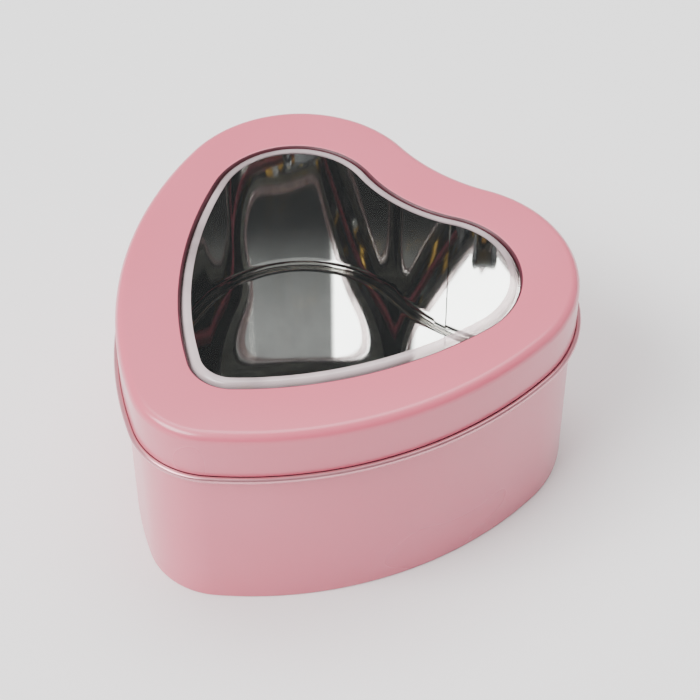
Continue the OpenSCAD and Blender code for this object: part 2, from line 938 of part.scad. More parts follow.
module governor_frame() {
  color([0.66, 0.66, 0.68])
    in_movement()
      difference() {
        union() {
          translate([19.8, 5.8, bedplate]) cube([9.3, 12.1, frame_base_top - bedplate]);
          translate([19.8, 6.9, bedplate]) cube([1.2, 10.7, 11.7]);
          translate([19.8, 10.6, bedplate]) cube([1.2, 7, 15.8]);
          translate([27.8, 5.8, bedplate]) cube([1.2, 4.4, 11.7]);
          translate([19.8, 12.4, 17.2]) cube([8.2, 3.5, 1.1]);
        }
        along_x(19, transfer_y, transfer_z) cylinder(h = 11, r = thin_shaft + running, $fn = screw_fn);
        translate([worm_x, worm_y, 2.9]) cylinder(h = 20, r = thin_shaft + running, $fn = 24);
        for (spot = governor_screw_spots)
          translate([spot[0], spot[1], 0]) cylinder(h = 9, r = 0.75, $fn = screw_fn);
      }
}

module governor_screws() {
  color([0.75, 0.72, 0.6])
    in_movement()
      for (spot = governor_screw_spots)
        translate([spot[0], spot[1], frame_base_top]) screw(1.4, 0.8, 0.7, 2.5);
}

lid_shell();
window_adhesive_ring();
window_pane();
body_wall();
floor_pan();
bedplate_casting();
movement_screws();
movement_washers();
great_wheel();
spring_drum();
drum_cover();
mainspring();
winding_arbor();
winding_key();
ratchet_wheel();
barrel_bridge();
bridge_posts();
bridge_screws();
click();
click_spring();
click_screw();
music_cylinder();
cylinder_pins();
cylinder_arbor();
cylinder_pinion();
cylinder_wheel();
left_bearing_bracket();
right_bearing_bracket();
bracket_screws();
comb();
comb_base();
comb_screws();
comb_tuning_weights();
transfer_arbor();
transfer_pinion();
worm_wheel();
governor_worm();
governor_fan();
governor_frame();
governor_screws();
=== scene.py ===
"""Looks for a heart-shaped window tin with a wind-up comb movement inside.

Laid out as an add-on: one operator builds each piece, one builds the stage, and main()
runs them in order. All lengths are metres in the part's own frame unless a name says mm.
"""

import math
from functools import partial

import bmesh
import bpy
from mathutils import Matrix, Vector, geometry


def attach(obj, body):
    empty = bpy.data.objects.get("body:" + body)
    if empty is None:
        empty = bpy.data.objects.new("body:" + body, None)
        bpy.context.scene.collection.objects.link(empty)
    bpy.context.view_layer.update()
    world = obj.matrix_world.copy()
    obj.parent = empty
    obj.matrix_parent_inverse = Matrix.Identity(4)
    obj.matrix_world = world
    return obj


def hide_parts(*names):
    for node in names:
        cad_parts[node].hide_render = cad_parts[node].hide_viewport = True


bl_info = {
    "name": "Heart window tin",
    "version": (1, 0, 0),
    "blender": (4, 5, 0),
    "location": "View3D > Sidebar > Heart tin",
    "description": "Builds the looks of a heart-shaped window tin with a musical movement",
    "category": "Object",
}

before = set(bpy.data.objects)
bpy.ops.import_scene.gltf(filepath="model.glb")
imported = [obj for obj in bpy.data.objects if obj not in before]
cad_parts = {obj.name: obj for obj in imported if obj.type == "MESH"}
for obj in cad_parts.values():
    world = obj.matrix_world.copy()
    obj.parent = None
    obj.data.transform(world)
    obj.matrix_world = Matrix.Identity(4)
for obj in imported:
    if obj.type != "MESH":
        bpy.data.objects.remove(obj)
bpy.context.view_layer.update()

MM = 0.001

# ---------------------------------------------------------------------------
# Settings
# ---------------------------------------------------------------------------


def length(name, millimetres, description):
    """A length setting whose default is given in mm."""
    return bpy.props.FloatProperty(
        name=name, description=description, default=millimetres * MM, unit="LENGTH",
    )


class HeartTinSettings(bpy.types.PropertyGroup):
    """Real sizes of the tin, as in the CAD part."""

    lid_height: length("Lid height", 53.0, "Height of the lid's top face")
    sheet: length("Sheet", 0.3, "Thickness of the tinplate")
    lid_fillet: length("Lid fillet", 2.2, "Outer radius between top and skirt")
    curl_radius: length("Curl radius", 0.7, "Outer radius of the rolled edges")
    skirt_bottom: length("Skirt bottom", 39.9, "Height of the lid's lowest point")
    lid_gap: length("Lid gap", 0.5, "Gap between lid and body")
    floor_top: length("Floor top", 4.3, "Height of the floor's upper face")
    floor_bend: length("Floor bend", 2.0, "Outer radius of the floor's bend")
    pane: length("Pane", 0.3, "Thickness of the window")
    pane_rise: length("Pane rise", 0.4, "How far the window stands above the lid")
    pane_edge: length("Pane edge", 1.2, "Radius of the window's raised edge")
    movement_x: length("Movement X", 12.0, "Place of the movement")
    movement_y: length("Movement Y", -10.0, "Place of the movement")
    movement_angle: bpy.props.FloatProperty(
        name="Movement angle", description="Turn of the movement about Z",
        default=math.radians(222.0), subtype="ANGLE",
    )
    comb_teeth: bpy.props.IntProperty(
        name="Comb teeth", description="Number of teeth on the comb", default=17,
    )
    pins_per_tooth: bpy.props.IntProperty(
        name="Pins per tooth", description="Melody pins for each tooth", default=5,
    )


class HeartTinStage(bpy.types.PropertyGroup):
    """Camera and lights."""

    azimuth: bpy.props.FloatProperty(
        name="Azimuth", description="Camera's turn from -Y towards +X",
        default=math.radians(37.75), subtype="ANGLE",
    )
    elevation: bpy.props.FloatProperty(
        name="Elevation", description="Camera's height angle",
        default=math.radians(46.5), subtype="ANGLE",
    )
    distance: length("Distance", 473.0, "Camera's distance from its aim")
    lens: bpy.props.FloatProperty(
        name="Lens", description="Focal length on a 36 mm sensor", default=107.07,
    )


# ---------------------------------------------------------------------------
# Heart geometry, the same construction as the CAD part (millimetres)
# ---------------------------------------------------------------------------


class Heart:
    """A heart of tangent arcs, from a lobe radius, three radius steps and the tip's height."""

    def __init__(self, lobe_radius, upper_step, side_step, lower_step, tip_y, headings):
        first, bend, last, cleft = (Vector(h) for h in headings)
        self.lobe_r = lobe_radius
        self.upper_r = lobe_radius + upper_step
        self.lower_r = self.upper_r - side_step
        self.tip_r = self.lower_r - lower_step
        self.tip = Vector((0.0, tip_y))
        self.lower = self.tip - lower_step * last
        self.upper = self.lower - side_step * bend
        self.lobe = self.upper + upper_step * first
        reach = -self.lobe.x / cleft.x
        self.cleft = self.lobe + reach * cleft
        self.cleft_r = reach - lobe_radius
        self.headings = (first, bend, last, cleft)

    def stations(self, steps):
        """Points and outward normals round the heart, anticlockwise from the tip.

        steps gives the number of stations on half the tip, the lower side, the upper side,
        the lobe and half the cleft.
        """
        first, bend, last, cleft = (math.atan2(h.y, h.x) for h in self.headings)
        half_turn = math.pi
        arcs = (
            (self.tip, self.tip_r, -half_turn / 2, last, 1, steps[0]),
            (self.lower, self.lower_r, last, bend, 1, steps[1]),
            (self.upper, self.upper_r, bend, first, 1, steps[2]),
            (self.lobe, self.lobe_r, first, cleft, 1, steps[3]),
            (self.cleft, self.cleft_r, cleft - half_turn, -half_turn / 2, -1, steps[4]),
        )
        right = []
        for centre, radius, start, stop, sign, count in arcs:
            for i in range(count):
                angle = start + (stop - start) * i / count
                heading = Vector((math.cos(angle), math.sin(angle)))
                right.append((centre + radius * heading, sign * heading))
        deepest = (self.cleft - Vector((0.0, self.cleft_r)), Vector((0.0, 1.0)))
        left = [
            (Vector((-p.x, p.y)), Vector((-n.x, n.y))) for p, n in reversed(right[1:])
        ]
        return right + [deepest] + left


TIN = Heart(
    28.9, 55.9375, -0.15, 66.8125, -31.4,
    ((0.99712, -0.07584), (0.8, -0.6), (0.5376, -0.8432), (-0.28, 0.96)),
)
WINDOW = Heart(
    18.8, 70.49, 5.29, 74.63, -25.4,
    ((0.96, -0.28), (0.8, -0.6), (0.6, -0.8), (-0.352, 0.936)),
)
STEPS = (26, 44, 26, 60, 22)


def arc(centre, radius, start, stop, count):
    """Profile points (distance outside the outline, height) along an arc, degrees."""
    points = []
    for i in range(count + 1):
        angle = math.radians(start + (stop - start) * i / count)
        points.append((centre[0] + radius * math.cos(angle), centre[1] + radius * math.sin(angle)))
    return points


# ---------------------------------------------------------------------------
# Materials
# ---------------------------------------------------------------------------


def linear(hex_colour):
    """An sRGB hex colour as linear RGBA."""
    value = hex_colour.lstrip("#")
    channels = [int(value[i : i + 2], 16) / 255 for i in (0, 2, 4)]
    return [c / 12.92 if c <= 0.04045 else ((c + 0.055) / 1.055) ** 2.4 for c in channels] + [1.0]


def add_node(tree, kind, settings=None, values=None, links=None):
    """Adds a node; values and links are keyed by input name or number."""
    node = tree.nodes.new(kind)
    for key, value in (settings or {}).items():
        setattr(node, key, value)
    for key, value in (values or {}).items():
        node.inputs[key].default_value = value
    for key, source in (links or {}).items():
        tree.links.new(source, node.inputs[key])
    return node


def ramp(tree, source, stops):
    """A colour ramp from position and colour pairs."""
    node = add_node(tree, "ShaderNodeValToRGB", links={"Fac": source})
    elements = node.color_ramp.elements
    while len(elements) < len(stops):
        elements.new(0.5)
    for element, (position, colour) in zip(elements, stops):
        element.position = position
        element.color = colour
    return node


def new_material(name):
    """An empty node material with its output, tree and Object coordinates."""
    material = bpy.data.materials.new(name)
    material.use_nodes = True
    tree = material.node_tree
    tree.nodes.clear()
    output = add_node(tree, "ShaderNodeOutputMaterial")
    coords = add_node(tree, "ShaderNodeTexCoord")
    return material, tree, output, coords.outputs["Object"]


def grey(value):
    """A neutral linear RGBA colour."""
    return (value, value, value, 1.0)


def noise(tree, position, cell, detail=3.0, roughness=0.5):
    """A noise pattern with the given cell size, in metres."""
    return add_node(
        tree, "ShaderNodeTexNoise",
        values={"Scale": 1.0 / cell, "Detail": detail, "Roughness": roughness},
        links={"Vector": position},
    ).outputs["Fac"]


def surface_material(
    name, colours, rough, metallic=0.0, cell=1.0 * MM, detail=4.0, grain=None, bump=0.0,
    bump_cell=None, coat=0.0, coat_rough=0.1, ior=None, corner_shade=0.0,
):
    """One solid material.

    colours are the darkest and lightest sRGB of a soft mottle with the given cell size,
    rough the lowest and highest roughness, grain a stretch of the pattern along the axes,
    bump the height of the fine relief; the corner setting says how much painted shade darkens
    corners and crevices.
    """
    material, tree, output, position = new_material(name)
    if grain:
        position = add_node(
            tree, "ShaderNodeMapping", values={"Scale": grain}, links={"Vector": position}
        ).outputs["Vector"]
    mottle = noise(tree, position, cell, detail, 0.6)
    colour = ramp(tree, mottle, [(0.3, linear(colours[0])), (0.7, linear(colours[1]))])
    roughness = ramp(tree, mottle, [(0.25, grey(rough[1])), (0.75, grey(rough[0]))])
    colour_out = colour.outputs["Color"]
    # Painted shade: concave corners and crevices darkened by their pointiness
    if corner_shade:
        pointed = add_node(tree, "ShaderNodeNewGeometry").outputs["Pointiness"]
        shade = ramp(tree, pointed, [(0.42, grey(1.0 - corner_shade)), (0.5, grey(1.0))])
        colour_out = add_node(
            tree, "ShaderNodeMix",
            {"data_type": "RGBA", "blend_type": "MULTIPLY"}, {0: 1.0},
            {6: colour_out, 7: shade.outputs["Color"]},
        ).outputs[2]
    shader = add_node(
        tree, "ShaderNodeBsdfPrincipled",
        values={"Metallic": metallic, "Coat Weight": coat, "Coat Roughness": coat_rough},
        links={"Base Color": colour_out, "Roughness": roughness.outputs["Color"]},
    )
    if ior:
        shader.inputs["IOR"].default_value = ior
    if bump:
        relief = noise(tree, position, bump_cell or cell)
        normal = add_node(
            tree, "ShaderNodeBump",
            values={"Strength": 1.0, "Distance": bump}, links={"Height": relief},
        )
        tree.links.new(normal.outputs["Normal"], shader.inputs["Normal"])
    tree.links.new(shader.outputs["BSDF"], output.inputs["Surface"])
    return material


# Mirror's share of the clear sheet seen straight on, and what grazing sight adds to it
HEAD_ON_MIRROR = 0.02
GRAZING_MIRROR = 0.85
GRAZING_POWER = 5.0


def clear_material(name, tint, rough, cell=9 * MM, painted_sheen_share=(), painted_sheen_colour="#FFFFFF"):
    """Thin clear plastic: straight-through light with a mirror that grows at the edges.

    cell is the size of its smears, and the sheen share gives the lowest and highest share of a
    milky layer that paints a highlight over the sheet.
    """
    material, tree, output, position = new_material(name)
    smear = noise(tree, position, cell)
    roughness = ramp(tree, smear, [(0.35, grey(rough[0])), (0.75, grey(rough[1]))])
    clear = add_node(tree, "ShaderNodeBsdfTransparent", values={"Color": linear(tint)})
    gloss = add_node(
        tree, "ShaderNodeBsdfPrincipled",
        values={"Base Color": linear("#F4F6F7"), "Metallic": 1.0},
        links={"Roughness": roughness.outputs["Color"]},
    )
    # A sheet too thin to bend light: a mirror's share from the angle alone, both ways through
    facing = add_node(tree, "ShaderNodeLayerWeight", values={"Blend": 0.5}).outputs["Facing"]
    steep = add_node(
        tree, "ShaderNodeMath", {"operation": "POWER"}, {1: GRAZING_POWER}, {0: facing}
    ).outputs[0]
    share = add_node(
        tree, "ShaderNodeMath", {"operation": "MULTIPLY_ADD"},
        {1: GRAZING_MIRROR, 2: HEAD_ON_MIRROR}, {0: steep},
    )
    mixed = add_node(
        tree, "ShaderNodeMixShader",
        links={0: share.outputs[0], 1: clear.outputs["BSDF"], 2: gloss.outputs["BSDF"]},
    )
    surface = mixed.outputs["Shader"]
    # Milky streaks laid over the sheet: a painted highlight
    if painted_sheen_share:
        streaks = ramp(tree, smear, [(0.38, grey(painted_sheen_share[0])), (0.62, grey(painted_sheen_share[1]))])
        painted_sheen_layer = add_node(
            tree, "ShaderNodeBsdfPrincipled",
            values={"Base Color": linear(painted_sheen_colour), "Roughness": 0.12, "Coat Weight": 0.6},
        )
        surface = add_node(
            tree, "ShaderNodeMixShader",
            links={0: streaks.outputs["Color"], 1: surface, 2: painted_sheen_layer.outputs["BSDF"]},
        ).outputs["Shader"]
    tree.links.new(surface, output.inputs["Surface"])
    return material


def build_materials():
    """Every material, by a short name."""
    return {
        # Rose enamel baked on tinplate: even colour, soft gloss, faint roller texture
        "enamel": surface_material(
            "rose_enamel_baked_semi_gloss", ("#D9657B", "#DB6A80"), (0.27, 0.31),
            cell=30 * MM, detail=1.0, coat=0.5, coat_rough=0.2,
        ),
        # The same enamel darkened to painted shade where it sits in the shadow line above the
        # rolled edge, at the window's lip and fold and inside the curl
        "crease": surface_material(
            "rose_enamel_painted_crevice_shade", ("#431722", "#52202C"), (0.4, 0.5), cell=3 * MM,
        ),
        # Stretched thin over the rolled edge, so the tin shines through; its lighter, paler pink
        # is a painted highlight
        "bead": surface_material(
            "rose_enamel_on_tin_painted_highlight", ("#D08C97", "#D999A2"), (0.16, 0.24), metallic=0.6,
            cell=9 * MM, coat=0.3, coat_rough=0.1,
        ),
        # Bare electrolytic tinplate: mirror-bright with long faint waves
        "tin": surface_material(
            "tinplate_bright_rolled", ("#DEDCD8", "#E8E6E2"), (0.025, 0.06), metallic=1.0,
            cell=7 * MM, grain=(1.0, 1.0, 0.35), bump=0.004 * MM, bump_cell=9 * MM,
        ),
        # Cut edge of the sheet
        "cut": surface_material(
            "tinplate_sheared_edge", ("#8E8D8B", "#A9A8A5"), (0.35, 0.5), metallic=1.0,
            cell=0.4 * MM,
        ),
        # Thermoformed clear window sheet
        "window": clear_material("pet_sheet_thermoformed_clear", "#F8FAFB", (0.02, 0.06)),
        # The same sheet round the drawn rim, with milky pinkish-white streaks as a painted
        # highlight
        "rim": clear_material(
            "pet_sheet_drawn_rim_painted_highlight", "#E4DCDD", (0.05, 0.15), 24 * MM, (0.3, 0.72), "#E6D3D6",
        ),
        # Hot-melt ring between pane and lid
        "glue": surface_material(
            "hot_melt_glue_translucent_set", ("#B9B7AE", "#CFCDC4"), (0.35, 0.5),
            cell=1.5 * MM, bump=0.03 * MM, bump_cell=1.2 * MM,
        ),
        # Die-cast zinc, tumbled
        "zinc": surface_material(
            "zinc_die_cast_tumbled", ("#8C8D90", "#A7A8AA"), (0.36, 0.5), metallic=1.0,
            cell=0.9 * MM, bump=0.012 * MM, bump_cell=0.35 * MM, corner_shade=0.35,
        ),
        # Stamped brass with fine drawing lines
        "brass": surface_material(
            "brass_stamped_satin", ("#B8913F", "#D2AC58"), (0.22, 0.36), metallic=1.0,
            cell=0.8 * MM, grain=(1.0, 1.0, 6.0), bump=0.003 * MM, bump_cell=0.25 * MM, corner_shade=0.3,
        ),
        # Ground and hardened steel of arbors, wheels and comb
        "steel": surface_material(
            "steel_hardened_ground", ("#9A9DA1", "#BCBEC1"), (0.18, 0.32), metallic=1.0,
            cell=0.6 * MM, grain=(5.0, 1.0, 1.0), bump=0.002 * MM, bump_cell=0.2 * MM, corner_shade=0.25,
        ),
        # Blued spring steel
        "blued": surface_material(
            "spring_steel_blued_oiled", ("#2E3442", "#46506A"), (0.22, 0.34), metallic=1.0,
            cell=2.0 * MM,
        ),
        # Yellow-passivated zinc plate on the screws
        "screw": surface_material(
            "steel_screw_yellow_passivated", ("#A8985F", "#C7BA86"), (0.25, 0.4), metallic=1.0,
            cell=0.5 * MM, corner_shade=0.3,
        ),
        # Nickel plate on the winding key
        "nickel": surface_material(
            "nickel_plate_polished", ("#C2BDB0", "#D4CFC3"), (0.1, 0.2), metallic=1.0,
            cell=1.6 * MM, bump=0.004 * MM, bump_cell=0.8 * MM, corner_shade=0.2,
        ),
        # Lead tuning weights
        "lead": surface_material(
            "lead_cast_dull", ("#55575B", "#707276"), (0.5, 0.65), metallic=1.0,
            cell=0.5 * MM, bump=0.01 * MM, bump_cell=0.3 * MM,
        ),
        # Moulded acetal fan of the air brake
        "acetal": surface_material(
            "acetal_moulded_ivory", ("#D9D6C6", "#E4E1D3"), (0.38, 0.48), cell=1.0 * MM,
            bump=0.003 * MM, bump_cell=0.3 * MM,
        ),
    }


MATERIALS = {}

# ---------------------------------------------------------------------------
# Mesh helpers
# ---------------------------------------------------------------------------


WELD = 0.0001 * MM


def to_object(name, vertices, faces, face_slots, slots, sharp_angle=40.0):
    """A mesh object at the origin from metre coordinates, one material number for each face."""
    mesh = bpy.data.meshes.new(name)
    mesh.from_pydata(vertices, [], faces)
    for key in slots:
        mesh.materials.append(MATERIALS[key])
    mesh.polygons.foreach_set("material_index", face_slots)
    clean_and_shade(mesh, sharp_angle)
    piece = bpy.data.objects.new(name, mesh)
    bpy.context.scene.collection.objects.link(piece)
    return piece


def clean_and_shade(mesh, sharp_angle=35.0):
    """Welds doubles, turns faces outwards and shades smoothly between hard edges."""
    work = bmesh.new()
    work.from_mesh(mesh)
    bmesh.ops.remove_doubles(work, verts=work.verts, dist=WELD)
    bmesh.ops.recalc_face_normals(work, faces=work.faces)
    limit = math.radians(sharp_angle)
    for face in work.faces:
        face.smooth = True
    for edge in work.edges:
        edge.smooth = edge.calc_face_angle(0.0) < limit
    work.to_mesh(mesh)
    work.free()
    mesh.update()


def sweep(profile, open_strip=None):
    """Sweeps a closed profile of (heart, distance, height, slot) round its outlines.

    The slot is that of the strip from one profile point to the next, and the strip that
    starts at point open_strip is left out. Returns vertices in metres, faces and face slots.
    """
    lines = {id(heart): heart.stations(STEPS) for heart in (TIN, WINDOW)}
    count = len(lines[id(TIN)])
    size = len(profile)
    vertices = []
    for i in range(count):
        for heart, distance, height, _slot in profile:
            point, normal = lines[id(heart)][i]
            place = point + distance * normal
            vertices.append((place.x * MM, place.y * MM, height * MM))
    faces, face_slots = [], []
    strips = [j for j in range(size) if j != open_strip]
    for i in range(count):
        ahead = (i + 1) % count
        for j in strips:
            k = (j + 1) % size
            faces.append((i * size + j, ahead * size + j, ahead * size + k, i * size + k))
            face_slots.append(profile[j][3])
    return vertices, faces, face_slots


def run(heart, points, slot, last_slot=None):
    """Profile points along one heart; the strip after the last may have its own slot."""
    profile = [(heart, x, z, slot) for x, z in points]
    if last_slot is not None:
        profile[-1] = profile[-1][:3] + (last_slot,)
    return profile


def outline(heart, distance):
    """Plan points (mm) of a heart grown by a distance."""
    return [point + distance * normal for point, normal in heart.stations(STEPS)]


def plate(loops, low, high, open_rim=False):
    """A flat plate between two heights from an outer loop and hole loops, in mm.

    open_rim leaves out the outer loop's side wall, where a swept edge carries on.
    """
    points, edges = [], []
    for loop in loops:
        start = len(points)
        points.extend(Vector(p) for p in loop)
        edges.extend((start + i, start + (i + 1) % len(loop)) for i in range(len(loop)))
    vertices, _edges, triangles, *_rest = geometry.delaunay_2d_cdt(points, edges, [], 0, 1e-6)
    kept = []
    for triangle in triangles:
        middle = sum((vertices[i] for i in triangle), Vector((0.0, 0.0))) / 3
        if sum(inside(middle, loop) for loop in loops) % 2:
            kept.append(tuple(triangle))
    top = [(v.x * MM, v.y * MM, high * MM) for v in vertices]
    bottom = [(v.x * MM, v.y * MM, low * MM) for v in vertices]
    shift = len(vertices)
    faces = kept + [tuple(i + shift for i in reversed(t)) for t in kept]
    used = dict.fromkeys((t[i], t[(i + 1) % 3]) for t in kept for i in range(3))
    rim = len(loops[0]) if open_rim else 0
    for a, b in used:
        if (b, a) not in used and max(a, b) >= rim:
            faces.append((a, a + shift, b + shift, b))
    return top + bottom, faces, [0] * len(faces)


def inside(point, loop):
    """Is a plan point inside a loop?"""
    hit = False
    for i, a in enumerate(loop):
        b = loop[i - 1]
        if (a[1] > point.y) != (b[1] > point.y):
            crossing = a[0] + (point.y - a[1]) * (b[0] - a[0]) / (b[1] - a[1])
            hit ^= point.x < crossing
    return hit


def circle_loop(x, y, radius, count=40):
    """Plan points (mm) of a round hole."""
    turns = [2 * math.pi * i / count for i in range(count)]
    return [(x + radius * math.cos(turn), y + radius * math.sin(turn)) for turn in turns]


def join_parts(*parts):
    """Adds up several (vertices, faces, slots) into one."""
    vertices, faces, slots = [], [], []
    for part_vertices, part_faces, part_slots in parts:
        start = len(vertices)
        vertices.extend(part_vertices)
        faces.extend(tuple(i + start for i in face) for face in part_faces)
        slots.extend(part_slots)
    return vertices, faces, slots


def movement_matrix():
    """From the movement's own frame to the tin's."""
    settings = bpy.context.scene.heart_tin
    place = Vector((settings.movement_x, settings.movement_y, settings.floor_top))
    return Matrix.Translation(place) @ Matrix.Rotation(settings.movement_angle, 4, "Z")


def in_movement(x, y):
    """A movement spot in plan, in mm of the tin's frame."""
    place = movement_matrix() @ Vector((x * MM, y * MM, 0.0))
    return place.x / MM, place.y / MM


def sizes():
    """The settings in mm, for the profile code."""
    settings = bpy.context.scene.heart_tin
    names = (
        "lid_height", "sheet", "lid_fillet", "curl_radius", "skirt_bottom", "lid_gap",
        "floor_top", "floor_bend", "pane", "pane_rise", "pane_edge",
    )
    return {name: getattr(settings, name) / MM for name in names}


# In mm: the barrel's axis along the movement, the straight lip and the fold's radius at
# the lid's opening, the milky border of painted highlight on the pane's flat top and the glue's
# give
BARREL_X = -12.5
LIP = 0.4
EDGE_FOLD = 0.8
RIM_BORDER = 0.7
GLUE_SQUEEZE = 0.1

# ---------------------------------------------------------------------------
# Operators: the tin
# ---------------------------------------------------------------------------


class HEART_OT_lid(bpy.types.Operator):
    """Builds the enamelled lid with its turned-down opening and rolled edge"""

    bl_idname = "heart.lid"
    bl_label = "Lid"

    def execute(self, context):
        s = sizes()
        sheet, fillet, top = s["sheet"], s["lid_fillet"], s["lid_height"]
        roll = s["curl_radius"]
        roll_z = s["skirt_bottom"] + roll
        centre = (roll - sheet, roll_z)
        enamel, tin, cut, crease, bead = range(5)
        round_top = (-fillet, top - fillet)
        fold = (EDGE_FOLD, top - EDGE_FOLD)
        lip_z = top - EDGE_FOLD - LIP
        # Enamelled face: lip, fold, top, fillet, skirt, then the hidden inside of the curl; the
        # lip, the fold's lower part, the skirt's foot and the curl's inside carry painted shade
        profile = run(WINDOW, [(0.0, lip_z)], crease)
        profile += run(WINDOW, arc(fold, EDGE_FOLD, 180, 108, 6), crease, enamel)
        profile += run(WINDOW, arc(fold, EDGE_FOLD, 102, 90, 3), enamel)
        profile += run(TIN, arc(round_top, fillet, 90, 0, 14), enamel)
        straight_end, crease_top, crease_low = (roll_z + rise for rise in (6.0, 1.2, 0.8))
        profile += run(TIN, [(0.0, straight_end), (0.0, crease_top)], enamel)
        # Painted shade from here down into the crease above the curl
        profile += run(TIN, [(0.0, crease_low)], crease)
        profile += run(TIN, arc(centre, roll - sheet, 180, 475, 22), crease, cut)
        # Outside of the curl, with the enamel carried round it; its lighter tone is a painted
        # highlight
        profile += run(TIN, arc(centre, roll, 475, 250, 24), bead)
        # Bare face: inside of the skirt, underside, fold
        profile += run(TIN, arc(centre, roll, 240, 180, 7), tin)
        profile += run(TIN, arc(round_top, fillet - sheet, 0, 90, 10), tin)
        profile += run(WINDOW, arc(fold, EDGE_FOLD - sheet, 90, 180, 6), tin)
        profile += run(WINDOW, [(sheet, lip_z)], cut)
        finishes = ("enamel", "tin", "cut", "crease", "bead")
        lid = to_object("lid_enamelled", *sweep(profile), finishes)
        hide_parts("lid_shell")
        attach(lid, "lid")
        return {"FINISHED"}


class HEART_OT_window(bpy.types.Operator):
    """Builds the clear raised window and the glue ring that holds it"""

    bl_idname = "heart.window"
    bl_label = "Window"

    def execute(self, context):
        s = sizes()
        pane, edge = s["pane"], s["pane_edge"]
        flange_top = s["lid_height"] - EDGE_FOLD - LIP - GLUE_SQUEEZE
        pane_top = s["lid_height"] + s["pane_rise"]
        rise, flange_end, inner_corner = -0.35, 4.2, 0.25
        bend = (rise - edge, pane_top - edge)
        rim_end = rise - edge - RIM_BORDER
        clear, drawn = 0, 1
        profile = run(WINDOW, [(flange_end, flange_top)], clear)
        profile += run(WINDOW, [(rise + inner_corner, flange_top)], drawn)
        profile += run(WINDOW, arc(bend, edge, 0, 90, 12), drawn)
        inner_wall = len(profile)
        profile += run(WINDOW, [(rim_end, pane_top), (rim_end, pane_top - pane)], drawn)
        profile += run(WINDOW, arc(bend, edge - pane, 90, 0, 12), drawn)
        foot = [(rise - pane, flange_top - pane), (flange_end, flange_top - pane)]
        profile += run(WINDOW, foot, clear)
        # The drawn ring has no inner wall: the flat top goes on from there
        top = plate([outline(WINDOW, rim_end)], pane_top - pane, pane_top, open_rim=True)
        window = to_object(
            "window_clear", *join_parts(sweep(profile, inner_wall), top), ("window", "rim"), 60.0
        )
        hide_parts("window_pane")
        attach(window, "lid")

        low, high = flange_top, s["lid_height"] - s["sheet"]
        bead = [
            (0.95, low), (3.65, low), (3.8, low + 0.2), (3.8, high - 0.2), (3.65, high),
            (1.0, high), (0.9, high - 0.3), (0.9, low + 0.15),
        ]
        ring = run(WINDOW, bead, 0)
        glue = to_object("window_glue", *sweep(ring), ("glue",))
        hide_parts("window_adhesive_ring")
        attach(glue, "lid")
        return {"FINISHED"}


class HEART_OT_body(bpy.types.Operator):
    """Builds the body's wall with its mouth curl, hem and lapped seam"""

    bl_idname = "heart.body"
    bl_label = "Body wall"

    def execute(self, context):
        s = sizes()
        sheet, roll = s["sheet"], s["curl_radius"]
        outer = -(sheet + s["lid_gap"])
        inner = outer - sheet
        mouth = s["lid_height"] - s["lid_fillet"] + 0.6
        enamel, tin, cut = 0, 1, 2
        corner, hem_width, hem_height = 0.5, 1.2, 2.2
        far = outer - hem_width
        centre = (outer - roll, mouth)
        left_corner = (far + corner, corner)
        right_corner = (outer - corner, corner)
        # Enamelled face upwards from the hem's free end, then over the mouth's curl
        profile = run(TIN, [(far, hem_height)], enamel)
        profile += run(TIN, arc(left_corner, corner, 180, 270, 6), enamel)
        profile += run(TIN, arc(right_corner, corner, 270, 360, 6), enamel)
        heights = (1.2, 20.0, mouth - 6.0)
        profile += run(TIN, [(outer, height) for height in heights], enamel)
        profile += run(TIN, arc(centre, roll, 0, 300, 26), enamel, cut)
        profile += run(TIN, arc(centre, roll - sheet, 300, 0, 20), tin)
        profile += run(TIN, [(inner, height) for height in reversed(heights)], tin)
        profile += run(TIN, arc(right_corner, corner - sheet, 360, 270, 4), tin)
        profile += run(TIN, arc(left_corner, corner - sheet, 270, 180, 4), tin)
        profile += run(TIN, [(far + sheet, hem_height)], cut)
        wall = sweep(profile)
        seam = self.seam(inner, sheet, s["floor_top"], mouth)
        body = to_object("body_enamelled", *join_parts(wall, seam), ("enamel", "tin", "cut"))
        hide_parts("body_wall")
        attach(body, "tin_body")
        return {"FINISHED"}

    def seam(self, inner, sheet, floor_top, mouth):
        """The inner lap of the side seam: a strip on the wall near the cleft."""
        proud, lap_width, count = 0.02, 3.0, 8
        radius = TIN.cleft_r - inner - proud
        start = math.radians(-88.8)
        spread = lap_width / radius
        low, high = floor_top + 0.4, mouth - 1.2
        corners = ((radius, low), (radius + sheet, low), (radius + sheet, high), (radius, high))
        vertices, faces = [], []
        for i in range(count + 1):
            angle = start + spread * i / count
            for r, z in corners:
                place = TIN.cleft + r * Vector((math.cos(angle), math.sin(angle)))
                vertices.append((place.x * MM, place.y * MM, z * MM))
        for i in range(count):
            for j in range(4):
                k = (j + 1) % 4
                faces.append((4 * i + j, 4 * i + k, 4 * i + 4 + k, 4 * i + 4 + j))
        faces.append((0, 3, 2, 1))
        last = 4 * count
        faces.append((last, last + 1, last + 2, last + 3))
        return vertices, faces, [1] * len(faces)


